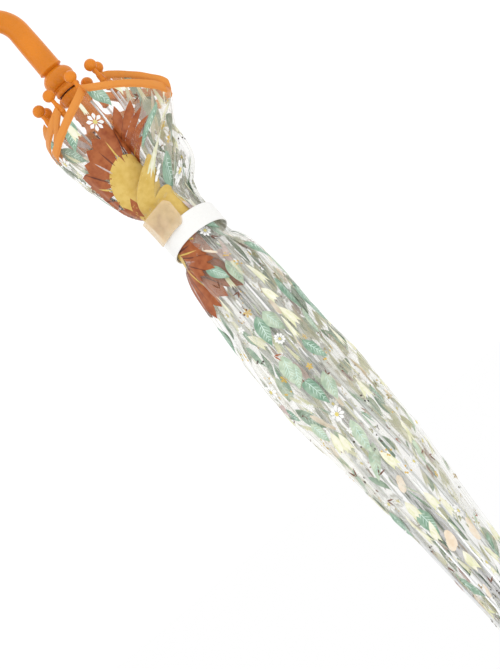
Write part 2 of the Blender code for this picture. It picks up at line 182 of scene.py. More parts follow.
# Height and radius of the furled film, from its hem up to the crown
BUNDLE = [
    (0.060, 0.0500), (0.078, 0.0492), (0.104, 0.0415), (0.121, 0.0362), (0.137, 0.0300),
    (0.146, 0.0240), (0.153, 0.0208), (0.191, 0.0208), (0.198, 0.0238), (0.208, 0.0266),
    (0.226, 0.0292), (0.260, 0.0312), (0.315, 0.0332), (0.370, 0.0318), (0.420, 0.0264),
    (0.460, 0.0208), (0.500, 0.0166), (0.530, 0.0150), (0.549, 0.0136),
]

# One value for each gore: how the hem's pleats open out below the strap
HEM_TURN = [radians(degrees) for degrees in (88, 88, 84, 70, 45, 15, -15, 90)]
HEM_SPREAD = [0.88, 0.93, 1.00, 1.03, 1.06, 1.08, 1.10, 0.87]
HEM_RIDGE_Z = [0.070, 0.073, 0.078, 0.082, 0.085, 0.087, 0.087, 0.074]

FRONT_GORE = 7

# The camera looks along +Y from a little above, rolled so that the umbrella lies across the frame
VIEW_TARGET = Vector((0.0148, 0.0, 0.2602))
VIEW_ROLL = radians(49.5)
VIEW_RISE = radians(8.0)
VIEW_DISTANCE = 2.40
VIEW_HEIGHT = 0.4733
SENSOR = 36.0

FLOOR_Z = -0.35


# Mesh helpers


def grid_faces(rows, columns, start=0, closed=False):
    """Quads between rows of vertices; closed joins each row's last vertex to its first."""
    faces = []
    spans = columns if closed else columns - 1
    for row in range(rows - 1):
        for column in range(spans):
            after = (column + 1) % columns
            low, high = start + row * columns, start + (row + 1) * columns
            faces.append((low + column, low + after, high + after, high + column))
    return faces


def add_object(name, data):
    obj = bpy.data.objects.new(name, data)
    SCENE.collection.objects.link(obj)
    return obj


def make_piece(name, points, faces, materials, slots=None, uvs=None, smooth_angle=None):
    """A mesh object; uvs holds one pair for each vertex."""
    mesh = bpy.data.meshes.new(name)
    mesh.from_pydata([tuple(point) for point in points], [], faces)
    for material in materials:
        mesh.materials.append(material)
    if slots is not None:
        mesh.polygons.foreach_set("material_index", slots)
    mesh.shade_smooth()
    if smooth_angle is not None:
        mesh.set_sharp_from_angle(angle=radians(smooth_angle))
    if uvs is not None:
        corners = np.zeros(len(mesh.loops), dtype=np.int32)
        mesh.loops.foreach_get("vertex_index", corners)
        layer = mesh.uv_layers.new(name="UVMap")
        layer.data.foreach_set("uv", np.asarray(uvs, dtype=np.float32)[corners].ravel())
    return add_object(name, mesh)


def smooth_step(value):
    value = np.clip(value, 0.0, 1.0)
    return value * value * (3.0 - 2.0 * value)


def curve_through(points, steps):
    """A Catmull-Rom curve through 2D or 3D points, with steps spans between neighbours."""
    points = [np.asarray(point, dtype=float) for point in points]
    padded = [2 * points[0] - points[1]] + points + [2 * points[-1] - points[-2]]
    result = []
    for before, start, end, after in zip(padded, padded[1:], padded[2:], padded[3:]):
        slope, bend = end - before, 2 * before - 5 * start + 4 * end - after
        twist = 3 * start - before - 3 * end + after
        for k in range(steps):
            t = k / steps
            result.append(0.5 * (2 * start + slope * t + bend * t**2 + twist * t**3))
    return [tuple(point) for point in result + [points[-1]]]


def tube_faces(rows, sides):
    """Faces of a stack of rings from its top down, with a cap at each end."""
    last = (rows - 1) * sides
    faces = [tuple(reversed(face)) for face in grid_faces(rows, sides, closed=True)]
    return faces + [tuple(range(sides)), tuple(last + k for k in reversed(range(sides)))]


def loop_faces(rows, sides):
    """Faces of a stack of rings whose last ring joins its first."""
    last = (rows - 1) * sides
    faces = grid_faces(rows, sides, closed=True)
    for k in range(sides):
        after = (k + 1) % sides
        faces.append((last + k, last + after, after, k))
    return [tuple(reversed(face)) for face in faces]


def turned_rings(profile, steps):
    """Vertices of an (r, z) profile turned about Z."""
    angles = [TURN * k / steps for k in range(steps)]
    return [(r * cos(a), r * sin(a), z) for r, z in profile for a in angles]


def azimuth_of(rib):
    return FIRST_RIB + STEP * rib


def to_world(gore, x, y, z):
    """Points of a rib's own frame, turned to that rib's azimuth."""
    c, s = cos(azimuth_of(gore)), sin(azimuth_of(gore))
    return np.stack([x * c - y * s, x * s + y * c, z], axis=-1)


# The furled film


def rod_line(z):
    """Distance of a rib's rods from the shaft's axis at height z."""
    upper = ROD_LINE + INNER_BOW * np.sin(pi * np.clip((CROWN[1] - z) / (CROWN[1] - RIVET[1]), 0, 1))
    share = np.clip((RIVET[1] - z) / (RIVET[1] - OUTER_BOW_END), 0, 1)
    lower = ROD_LINE + OUTER_BOW * np.sin(pi * share)
    flare = ROD_LINE + (FLARE_LINE - ROD_LINE) * smooth_step((FLARE_TOP - z) / (FLARE_TOP - FLARE_END))
    return np.where(z > RIVET[1], upper, np.where(z > OUTER_BOW_END, lower, flare))


def rib_side(z):
    """Radius of the film where it is fixed to a rib."""
    near_crown = smooth_step((CROWN[1] - z) / 0.018)
    near_tip = smooth_step((0.078 - z) / 0.014)
    clear = rod_line(z) + FILM_CLEARANCE + 0.0016 * near_tip
    return FILM_CROWN_RADIUS + (clear - FILM_CROWN_RADIUS) * near_crown


def rotate_about(x, z, pivot, angle):
    across, up = x - pivot[0], z - pivot[1]
    c, s = cos(angle), sin(angle)
    return pivot[0] + across * c - up * s, pivot[1] + across * s + up * c


def opened(x, z, lower):
    """Where a point in a rib's plane goes as the umbrella opens fully."""
    if lower:
        x, z = rotate_about(x, z, RIVET, FLEX)
    return rotate_about(x, z, CROWN, OPEN)


BUNDLE_HEIGHTS, BUNDLE_RADII = zip(*curve_through(BUNDLE, 6))


def waves(seed, count, reach_u, reach_z):
    """A smooth seeded ripple over a sheet, as a function of u and z with values of about 1."""
    draw = random.Random(seed)
    terms = []
    for _ in range(count):
        size, along_u = draw.uniform(0.4, 1.0), draw.uniform(0.3, 1.0) * reach_u
        along_z, phase = draw.uniform(-1.0, 1.0) * reach_z, draw.uniform(0.0, TURN)
        terms.append((size, along_u, along_z, phase))
    total = sqrt(sum(term[0] ** 2 for term in terms) / 2.0)

    def ripple(u, z):
        value = 0.0
        for size, along_u, along_z, phase in terms:
            value = value + size * np.sin(TURN * (along_u * u + along_z * z) + phase)
        return value / total

    return ripple


SWELL = [waves(100 + gore, 3, 0.0, 9.0) for gore in range(RIB_COUNT)]
LEAN = [waves(200 + gore, 3, 0.0, 6.0) for gore in range(RIB_COUNT)]
FOLDS = [waves(300 + gore, 5, 9.0, 11.0) for gore in range(RIB_COUNT)]
CREASES = [waves(400 + gore, 6, 26.0, 30.0) for gore in range(RIB_COUNT)]


def held_by_strap(z):
    """1 under the strap, falling to 0 away from it."""
    return 1.0 - smooth_step((np.abs(z - STRAP_Z) - STRAP_HOLD) / STRAP_FADE)


def raw_pleat(gore, u, z):
    """A point of one gore's pleat: out to its ridge at u = 0.5, and back under itself."""
    fold = np.sin(pi * np.clip(u, 0.0, 1.0))
    flared = smooth_step((PLEAT_FLARE_TOP - z) / PLEAT_FLARE_DEPTH)
    loose = 1.0 - STRAP_GRIP * held_by_strap(z)
    inner = rib_side(z)
    spread = 1.0 + (HEM_SPREAD[gore] - 1.0) * flared + SWELL_SHARE * SWELL[gore](u, z) * loose
    outer = np.interp(z, BUNDLE_HEIGHTS, BUNDLE_RADII) * spread
    reach = np.where(z < RIVET[1], opened(inner, z, True)[0], opened(inner, z, False)[0])
    sag = SAG_SHARE * reach * (1.0 - cos(STEP / 2.0))
    turn = np.arccos(np.clip((inner - sag) / outer, -0.98, 0.98))
    turn = turn * (1.0 - flared) + HEM_TURN[gore] * flared + LEAN_ANGLE * LEAN[gore](u, z) * loose
    angle = np.where(u < 0.5, turn * fold, STEP + (turn - STEP) * fold)
    radius = inner + (outer - inner) * fold**FOLD_POWER
    radius = radius + FOLD_BULGE * loose * np.sin(TURN * u) * fold**2
    ripples = FOLD_RIPPLE * FOLDS[gore](u, z) * loose + CREASE_RIPPLE * CREASES[gore](u, z)
    radius = radius + ripples * fold
    return radius * np.cos(angle), radius * np.sin(angle)


def sheet_point(gore, u, z):
    """A point of the film at rest in its first rib's frame.

    The pleat's ridge is rounded, and the pleats slip a little to one side of the shaft.
    """
    u, z = np.broadcast_arrays(np.asarray(u, dtype=float), np.asarray(z, dtype=float))
    taps = [(-1.0, 1.0), (-0.5, 2.0), (0.0, 3.0), (0.5, 2.0), (1.0, 1.0)]
    reach = np.clip(np.minimum(u, 1.0 - u) / RIDGE_REACH, 0.0, 1.0)
    x, y = 0.0, 0.0
    for offset, share in taps:
        tap_x, tap_y = raw_pleat(gore, u + offset * RIDGE_REACH * reach, z)
        x, y = x + tap_x * share / 9.0, y + tap_y * share / 9.0
    most = SLIP + TOP_SLIP * smooth_step((z - 0.40) / 0.06)
    slip = -most * np.sin(pi * u) * (1.0 - 0.2 * held_by_strap(z))
    slip = slip * smooth_step((CROWN[1] - z) / 0.060)
    x = x + slip * cos(azimuth_of(gore))
    y = y - slip * sin(azimuth_of(gore))
    return np.stack([x, y, z], axis=-1)


def sheet_normal(gore, u, z):
    """Unit normal of the film, outwards on the pleat's outer layer."""
    du, dz = 0.004, 0.0006
    low, high = np.clip(u - du, 0.0, 1.0), np.clip(u + du, 0.0, 1.0)
    along = sheet_point(gore, high, z) - sheet_point(gore, low, z)
    up = sheet_point(gore, u, z + dz) - sheet_point(gore, u, z - dz)
    normal = np.cross(along, up)
    return normal / np.linalg.norm(normal, axis=-1, keepdims=True)


def hem_height(gore, u):
    """The hem hangs to the ribs' tips and rises to each pleat's ridge."""
    rise = np.sin(pi * np.clip(u, 0.0, 1.0)) ** 0.9
    return HEM_CORNER_Z + (HEM_RIDGE_Z[gore] - HEM_CORNER_Z) * rise


def follow_film(piece, local, u, lower):
    """Bake a piece on the film into world space and work out each point's share of its panel's motion.

    The share is set from its u, and not by start and end, meant to spread the gore evenly when
    open; nothing uses the share.
    """
    reach = Vector(JOINTS["open_close"]["pos_m"]) * 0.1
    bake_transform(piece)
    x, _ = opened(local[:, 0], local[:, 2], lower)
    share = u - np.arctan2(local[:, 1], x) / STEP


def add_film(gore, lower, material):
    rows = FILM_LOWER_ROWS if lower else FILM_UPPER_ROWS
    u, v = np.meshgrid(np.linspace(0.0, 1.0, FILM_ACROSS + 1), np.linspace(0.0, 1.0, rows + 1))
    if lower:
        top, bottom = RIVET[1] + FLEX_GAP, hem_height(gore, u)
    else:
        top, bottom = FILM_TOP, RIVET[1] - FLEX_GAP
    z = top + (bottom - top) * v
    local = sheet_point(gore, u, z).reshape(-1, 3)
    world = to_world(gore, *local.T)
    level = "lower" if lower else "upper"
    uvs = np.stack([u.ravel() * FILM_UV_WIDTH, z.ravel()], axis=-1)
    faces = grid_faces(rows + 1, FILM_ACROSS + 1)
    film = make_piece(f"film_{level}_{gore + 1}", world, faces, [material], uvs=uvs)
    follow_film(film, local, u.ravel(), lower)
    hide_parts(f"gore_{level}_{gore + 1}")


def add_hem_tape(gore, tape, thread):
    """Woven tape folded over the film's edge, with a row of stitches near its upper side."""
    columns = 64
    shoulder = TAPE_WIDTH - 0.0004
    outside = [(TAPE_WIDTH, 0.3), (shoulder, 1.0), (0.0030, 1.15), (0.0004, 1.0), (-0.0005, 0.5)]
    profile = outside + [(height, -side) for height, side in reversed(outside)]
    count = columns + 1
    u = np.linspace(0.0, 1.0, count)
    hem = hem_height(gore, u)
    rows = []
    for height, side in profile:
        z = hem + height
        rows.append(sheet_point(gore, u, z) + sheet_normal(gore, u, z) * TAPE_HALF * side)
    run = np.concatenate([[0.0], np.cumsum(np.linalg.norm(np.diff(rows[0], axis=0), axis=1))])
    points = np.concatenate(rows)
    faces = []
    for row in range(len(profile)):
        after = (row + 1) % len(profile)
        for k in range(columns):
            faces.append((row * count + k, row * count + k + 1, after * count + k + 1, after * count + k))
    for end in (0, columns):
        faces.append(tuple(row * count + end for row in range(len(profile))))
    slots = [0] * len(faces)
    uvs = [(x, height + (0.02 if side < 0 else 0.0)) for height, side in profile for x in run]
    share = np.tile(u, len(profile))

    starts = STITCH_PITCH * np.arange(int(run[-1] / STITCH_PITCH)) + 0.0004
    near, far = (np.interp(place, run, u) for place in (starts, starts + STITCH_LENGTH))
    corner_u = np.stack([near, far, far, near], axis=1)
    lift = STITCH_HALF * np.array([1.0, 1.0, -1.0, -1.0])
    corner_z = hem_height(gore, corner_u) + TAPE_WIDTH - STITCH_DROP + lift
    ground = sheet_point(gore, corner_u, corner_z)
    normal = sheet_normal(gore, corner_u, corner_z)
    for side in (1.0, -1.0):
        low = ground + normal * TAPE_HALF * side
        high = ground + normal * (TAPE_HALF * 1.1 + STITCH_HALF) * side
        base = len(points)
        blocks = np.concatenate([low, high], axis=1)
        points = np.concatenate([points, blocks.reshape(-1, 3)])
        share = np.concatenate([share, np.concatenate([corner_u, corner_u], axis=1).ravel()])
        uvs += [(0.0, 0.0)] * (8 * len(starts))
        for first in range(base, base + 8 * len(starts), 8):
            for a, b in ((0, 1), (1, 2), (2, 3), (3, 0)):
                faces.append((first + a, first + b, first + 4 + b, first + 4 + a))
            faces.append((first + 4, first + 5, first + 6, first + 7))
            faces.append((first + 3, first + 2, first + 1, first))
            slots += [1] * 6
    world = to_world(gore, *points.T)
    piece = make_piece(f"hem_tape_{gore + 1}", world, faces, [tape, thread], slots, uvs, smooth_angle=50.0)
    follow_film(piece, points, share, True)


# Printed motifs: each is a list of patches, (ink number, rows of (across, up) points)


def ellipse_patch(ink, centre, size, angle, rings=3, spokes=12):
    """A filled ellipse as rings of points about its centre."""
    c, s = cos(angle), sin(angle)
    rows = []
    for ring in range(rings):
        reach = ring / (rings - 1)
        row = []
        for k in range(spokes + 1):
            turn = TURN * k / spokes
            a, b = size[0] * reach * cos(turn), size[1] * reach * sin(turn)
            row.append((centre[0] + a * c - b * s, centre[1] + a * s + b * c))
        rows.append(row)
    return ink, rows


def blade_patch(ink, start, angle, length, width, belly=0.45, bend=0.0, steps=8, columns=3):
    """A leaf or petal outline: a bent strip that swells to its width and closes at both ends."""
    rows = []
    for k in range(steps + 1):
        t = k / steps
        swell = sin(pi * t ** (log(0.5) / log(belly)))
        half = 0.5 * width * max(swell, 0.02)
        lean, way = angle + bend * (t - 1.0) / 2, angle + bend * (t - 0.5)
        across, up = start[0] + length * t * cos(lean), start[1] + length * t * sin(lean)
        row = []
        for column in range(columns):
            side = 2.0 * column / (columns - 1) - 1.0
            row.append((across - half * side * sin(way), up + half * side * cos(way)))
        rows.append(row)
    return ink, rows


def dot_patch(ink, centre, radius, spokes=8):
    return ellipse_patch(ink, centre, (radius, radius), 0.0, rings=2, spokes=spokes)


def line_patch(ink, start, angle, length, width):
    return blade_patch(ink, start, angle, length, width, belly=0.35, steps=3, columns=2)


LEAF, LEAF_PALE, VEIN, PETAL, CENTRE, TULIP, TULIP_PALE, PEACH = range(8)
BROWN, RUST, RUST_DARK, MUSTARD, DARK, MAUVE = range(8, 14)
INK_ORDER = (1, 1, 4, 3, 4, 1, 2, 1, 2, 0, 2, 4, 3, 1)


def leaf(draw, angle=None):
    if angle is None:
        angle = pi / 2 + draw.uniform(-0.65, 0.65)
    length, width = draw.uniform(0.018, 0.030), draw.uniform(0.0085, 0.0125)
    ink = draw.choice((LEAF, LEAF, LEAF_PALE))
    c, s = cos(angle), sin(angle)
    start = (-0.5 * length * c, -0.5 * length * s)
    foot = (start[0] + 0.06 * length * c, start[1] + 0.06 * length * s)
    patches = [blade_patch(ink, start, angle, length, width, 0.42, 0.2, 10, 5)]
    patches.append(line_patch(VEIN, foot, angle, length * 0.84, 0.0007))
    for k in range(1, 7):
        way = length * (0.08 + 0.115 * k)
        base = (start[0] + way * c, start[1] + way * s)
        reach = 0.52 * width * sin(pi * (0.12 + 0.125 * k))
        for side in (-1.0, 1.0):
            patches.append(line_patch(VEIN, base, angle + side * 0.75, reach, 0.00050))
    return patches


def daisy(draw, spin=None):
    radius = draw.uniform(0.0042, 0.0070)
    petals = draw.choice((8, 9, 10))
    if spin is None:
        spin = draw.uniform(0.0, pi)
    patches = []
    for k in range(petals):
        angle = spin + TURN * k / petals
        start = (0.22 * radius * cos(angle), 0.22 * radius * sin(angle))
        length = radius * draw.uniform(0.72, 0.88)
        patches.append(blade_patch(PETAL, start, angle, length, 0.46 * radius, 0.62, steps=4))
    return patches + [dot_patch(CENTRE, (0.0, 0.0), 0.26 * radius)]


def tulip(draw):
    length, width = draw.uniform(0.014, 0.022), draw.uniform(0.006, 0.009)
    angle = pi / 2 + draw.uniform(-0.5, 0.5)
    start = (-0.5 * length * cos(angle), -0.5 * length * sin(angle))
    patches = []
    for side, ink in ((-1.0, TULIP), (1.0, TULIP), (0.0, TULIP_PALE)):
        way, bend = angle + 0.22 * side, 0.5 * side
        patches.append(blade_patch(ink, start, way, length, width * 0.62, 0.45, bend, 7))
    return patches


def peach_blob(draw):
    size = draw.uniform(0.0045, 0.0085)
    ink = draw.choice((PEACH, PEACH, MAUVE))
    patches = []
    for _ in range(2):
        centre = (draw.uniform(-0.3, 0.3) * size, draw.uniform(-0.6, 0.6) * size)
        lobes = (size * draw.uniform(0.45, 0.7), size * draw.uniform(0.7, 1.1))
        patches.append(ellipse_patch(ink, centre, lobes, draw.uniform(-0.5, 0.5)))
    return patches


def sprig(draw):
    angle = draw.uniform(0.0, TURN)
    length = draw.uniform(0.0055, 0.0078)
    ink = draw.choice((BROWN, BROWN, RUST))
    return [line_patch(ink, (0.0, 0.0), angle + turn, length, 0.0013) for turn in (-0.42, 0.42)]


def dots(draw):
    ink = draw.choice((DARK, BROWN, MUSTARD, MUSTARD))
    patches = []
    for _ in range(draw.choice((3, 4, 5))):
        place = (draw.uniform(-0.0036, 0.0036), draw.uniform(-0.0036, 0.0036))
        patches.append(dot_patch(ink, place, 0.00080))
    return patches


def small_flower(draw):
    radius = draw.uniform(0.0028, 0.0040)
    ink = draw.choice((MUSTARD, TULIP, PETAL))
    spin = draw.uniform(0.0, pi)
    patches = []
    for k in range(5):
        angle = spin + TURN * k / 5
        patches.append(blade_patch(ink, (0.0, 0.0), angle, radius, 0.6 * radius, 0.6, steps=3))
    return patches + [dot_patch(RUST, (0.0, 0.0), 0.24 * radius, spokes=6)]


def grass(draw):
    angle = pi / 2 + draw.uniform(-0.5, 0.5)
    patches = []
    for _ in range(3):
        start = (draw.uniform(-0.002, 0.002), draw.uniform(-0.008, -0.004))
        way = angle + draw.uniform(-0.35, 0.35)
        ink = draw.choice((LEAF_PALE, TULIP, LEAF))
        patches.append(blade_patch(ink, start, way, 0.014, 0.0014, steps=5))
    return patches


# How often each motif comes, where the film shows and where it is folded away
MOTIFS = [leaf] * 7 + [daisy] * 3 + [tulip] * 8 + [peach_blob] * 2 + [sprig] * 7 + [dots] * 5
MOTIFS += [small_flower] * 3 + [grass] * 2
HIDDEN_MOTIFS = [leaf] * 2 + [grass] * 2 + [tulip] * 6 + [peach_blob] * 3 + [dots] * 2
HIDDEN_MOTIFS += [sprig, small_flower, daisy]
MOTIF_PITCH = 0.0145

# Motifs with a fixed place on a gore: (distance from its first rib, or from its second rib if
# negative, height, angle, kind, seed)
PLACED_MOTIFS = {
    FRONT_GORE: [(0.010, 0.0780, 0.3, daisy, 153)],
    FRONT_GORE - 1: [(-0.025, 0.1040, 1.75, leaf, 4)],
}


def bloom(draw, radius, core):
    """A big round flower: streaked rust petals about a mustard centre."""
    patches = []
    petals = 26 if radius > core else 0
    for k in range(petals):
        angle = TURN * (k + draw.uniform(-0.15, 0.15)) / petals
        start = (core * 0.8 * cos(angle), core * 0.8 * sin(angle))
        reach = radius * draw.uniform(0.86, 1.04) - core * 0.8
        width = TURN * radius / petals
        patches.append(blade_patch(RUST, start, angle, reach, width, 0.66, 0.0, 22, 5))
    for k in range(petals):
        edge = TURN * (k + 0.5 + draw.uniform(-0.1, 0.1)) / petals
        root = (core * 1.02 * cos(edge), core * 1.02 * sin(edge))
        tone = (RUST_DARK, MAUVE, RUST_DARK, MUSTARD)[k % 4]
        length = (radius - core) * draw.uniform(0.45, 0.85)
        patches.append(blade_patch(tone, root, edge, length, 0.0013, 0.4, 0.0, 14, 2))
    patches.append(ellipse_patch(MUSTARD, (0.0, 0.0), (core, core * 1.15), 0.0, rings=14, spokes=40))
    return patches


class Sheet:
    """Distances along a gore's film, for laying motifs out at their true size."""

    def __init__(self, gore):
        u = np.linspace(0.0, 1.0, 121)
        self.z = np.linspace(0.045, FILM_TOP, 170)
        across, up = np.meshgrid(u, self.z)
        gaps = np.linalg.norm(np.diff(sheet_point(gore, across, up), axis=1), axis=2)
        arc = np.concatenate([np.zeros((len(self.z), 1)), np.cumsum(gaps, axis=1)], axis=1)
        self.widths = arc[:, -1]
        self.arc = np.linspace(0.0, self.widths.max(), 300)
        self.u = np.stack([np.interp(self.arc, row, u) for row in arc])

    def width(self, z):
        return float(np.interp(z, self.z, self.widths))

    def u_at(self, arc, z):
        """The value of u at each distance along the film, at each height."""
        row = np.interp(z, self.z, np.arange(len(self.z)))
        column = np.interp(arc, self.arc, np.arange(len(self.arc)))
        low_row = np.minimum(row.astype(int), len(self.z) - 2)
        low_column = np.minimum(column.astype(int), len(self.arc) - 2)
        up, over = row - low_row, column - low_column
        near, far = (
            self.u[k, low_column] * (1 - over) + self.u[k, low_column + 1] * over
            for k in (low_row, low_row + 1)
        )
        return near * (1 - up) + far * up


def motif_places(sheet, draw):
    """Random places for motifs over a gore: along the film, then up it."""
    row, z = 0, 0.066
    while z < FILM_TOP - 0.012:
        width = sheet.width(z)
        count = max(2, int(width / MOTIF_PITCH))
        for k in range(count):
            arc = width * (k + 0.5 + 0.25 * (row % 2) + draw.uniform(-0.3, 0.3)) / count
            yield arc, z + draw.uniform(-0.45, 0.45) * MOTIF_PITCH
        z += MOTIF_PITCH
        row += 1


def blooms_on(gore, sheet):
    """The big flowers that reach this gore: (distance along, height, radius, core, seed)."""
    middle = 0.013
    if gore == FRONT_GORE:
        return [(middle, 0.136, 0.056, 0.0250, 5), (0.030, 0.186, 0.056, 0.0080, 9)]
    if gore == FRONT_GORE - 1:
        return [
            (sheet.width(0.100) + middle, 0.136, 0.056, 0.0250, 5),
            (0.036, 0.144, 0.020, 0.0200, 6),
            (0.045, 0.183, 0.034, 0.0080, 9),
        ]
    if gore == FRONT_GORE - 2:
        return [(0.034, 0.160, 0.015, 0.0150, 7)]
    return []


def motif_layout(gore, sheet):
    """Every motif of a gore as (distance along, height, width factor, patches)."""
    draw = random.Random(70 + gore)
    blooms = blooms_on(gore, sheet)
    layout = []
    for arc, z, radius, core, seed in blooms:
        layout.append((arc, z, PRINT_SQUEEZE, bloom(random.Random(seed), radius, core)))
    for place, z, angle, kind, seed in PLACED_MOTIFS.get(gore, ()):
        arc = place if place > 0.0 else sheet.width(z) + place
        layout.append((arc, z, PRINT_SQUEEZE, kind(random.Random(seed), angle)))
    for arc, z in motif_places(sheet, draw):
        low, high = 0.15, 0.60
        if z < FLARE_TOP:
            low, high = (0.45, 0.97) if gore == FRONT_GORE - 1 else (0.12, 0.75)
        shown = low < arc / sheet.width(z) < high
        patches = draw.choice(MOTIFS if shown else HIDDEN_MOTIFS)(draw)
        if not any(hypot(arc - x, z - y) < radius for x, y, radius, _, _ in blooms):
            layout.append((arc, z, PRINT_SQUEEZE if shown else HIDDEN_SQUEEZE, patches))
    return layout


def add_prints(gore, inks):
    """All motifs of a gore, as one piece for its upper sheet and one for its lower sheet."""
    sheet = Sheet(gore)
    layout = motif_layout(gore, sheet)
    for lower in (True, False):
        arcs, heights, lifts, faces, slots = [], [], [], [], []
        for number, (arc, z, squeeze, patches) in enumerate(layout):
            if (z < RIVET[1]) != lower:
                continue
            for order, (tone, rows) in enumerate(patches):
                base = len(arcs)
                arcs += [arc + squeeze * across for row in rows for across, _ in row]
                heights += [z + up for row in rows for _, up in row]
                lift = PRINT_LIFT + MOTIF_STEP * (number % 3) + INK_STEP * INK_ORDER[tone]
                lifts += [lift + PATCH_STEP * (order % 8)] * (len(arcs) - base)
                patch_faces = grid_faces(len(rows), len(rows[0]), base)
                faces += patch_faces
                slots += [tone] * len(patch_faces)
        low = 0.046 if lower else RIVET[1] - 0.001
        high = RIVET[1] + 0.001 if lower else FILM_TOP - 0.001
        z = np.clip(heights, low, high)
        u = sheet.u_at(np.array(arcs), z)
        if lower:
            z = np.maximum(z, hem_height(gore, u) + 0.0006)
        local = sheet_point(gore, u, z) + sheet_normal(gore, u, z) * np.array(lifts)[:, None]
        a, b, c, d = np.moveaxis(local[np.array(faces)], 1, 0)
        areas = np.linalg.norm(np.cross(c - a, d - b), axis=1)
        kept = np.nonzero(areas > SMALLEST_PATCH)[0]
        faces, slots = [faces[k] for k in kept], [slots[k] for k in kept]
        name = f"print_{'lower' if lower else 'upper'}_{gore + 1}"
        piece = make_piece(name, to_world(gore, *local.T), faces, inks, slots)
        follow_film(piece, local, u, lower)


# Materials


class Finish:
    """A material's node tree with short helpers."""

    def __init__(self, name, **values):
        self.material = bpy.data.materials.new(name)
        self.material.use_nodes = True
        self.nodes = self.material.node_tree.nodes
        self.links = self.material.node_tree.links
        self.shader = self.nodes["Principled BSDF"]
        for socket, value in values.items():
            self.shader.inputs[socket.replace("_", " ")].default_value = value

    def node(self, kind, **values):
        node = self.nodes.new(kind)
        for key, value in values.items():
            if hasattr(node, key):
                setattr(node, key, value)
            else:
                node.inputs[key.replace("_", " ")].default_value = value
        return node

    def link(self, source, target):
        self.links.new(source, target)

    def drive(self, socket, source):
        self.link(source, self.shader.inputs[socket])

    def place(self, kind="Object", stretch=(1.0, 1.0, 1.0)):
        coordinates = self.node("ShaderNodeTexCoord")
        mapping = self.node("ShaderNodeMapping", Scale=stretch)
        self.link(coordinates.outputs[kind], mapping.inputs["Vector"])
        return mapping.outputs["Vector"]

    def noise(self, vector, scale, detail=3.0):
        noise = self.node("ShaderNodeTexNoise", Scale=scale, Detail=detail)
        self.link(vector, noise.inputs["Vector"])
        return noise.outputs["Fac"]

    def split(self, vector):
        node = self.node("ShaderNodeSeparateXYZ")
        self.link(vector, node.inputs["Vector"])
        return node.outputs

    def ramp(self, value, stops):
        ramp = self.node("ShaderNodeValToRGB")
        elements = ramp.color_ramp.elements
        for element, (place, color) in zip(elements, (stops[0], stops[-1])):
            element.position = place
            element.color = (*color, 1.0)
        for place, color in stops[1:-1]:
            elements.new(place).color = (*color, 1.0)
        self.link(value, ramp.inputs["Fac"])
        return ramp.outputs["Color"]

    def tint(self, value, stops):
        self.drive("Base Color", self.ramp(value, stops))

    def span(self, value, low, high, start=0.3, end=0.7):
        span = self.node("ShaderNodeMapRange", From_Min=start, From_Max=end, To_Min=low, To_Max=high)
        self.link(value, span.inputs["Value"])
        return span.outputs["Result"]

    def bump(self, height, strength, distance):
        bump = self.node("ShaderNodeBump", Strength=strength, Distance=distance)
        self.link(height, bump.inputs["Height"])
        self.drive("Normal", bump.outputs["Normal"])

    def math(self, operation, first, second=0.0):
        node = self.node("ShaderNodeMath", operation=operation)
        for socket, value in zip(node.inputs, (first, second)):
            if isinstance(value, (int, float)):
                socket.default_value = value
            else:
                self.link(value, socket)
        return node.outputs["Value"]


def shade(color, factor):
    return tuple(channel * factor for channel in color)


def moulded_plastic(name, color, roughness):
    finish = Finish(name, IOR=1.45, Specular_IOR_Level=0.32)
    vector = finish.place()
    cloud = finish.noise(vector, 45.0, 4.0)
    finish.tint(cloud, [(0.3, shade(color, 0.90)), (0.55, color), (0.8, shade(color, 1.07))])
    wear = finish.noise(vector, 260.0, 5.0)
    finish.drive("Roughness", finish.span(wear, roughness - 0.06, roughness + 0.10))
    finish.bump(finish.noise(vector, 900.0, 2.0), 0.10, 0.0002)
    return finish.material


def drawn_metal(name, color, roughness, metallic):
    finish = Finish(name, Metallic=metallic)
    vector = finish.place(stretch=(1.0, 1.0, 0.04))
    streak = finish.noise(vector, 1400.0, 3.0)
    finish.tint(streak, [(0.25, shade(color, 0.86)), (0.75, shade(color, 1.04))])
    finish.drive("Roughness", finish.span(streak, roughness - 0.05, roughness + 0.09))
    finish.bump(streak, 0.08, 0.0001)
    return finish.material


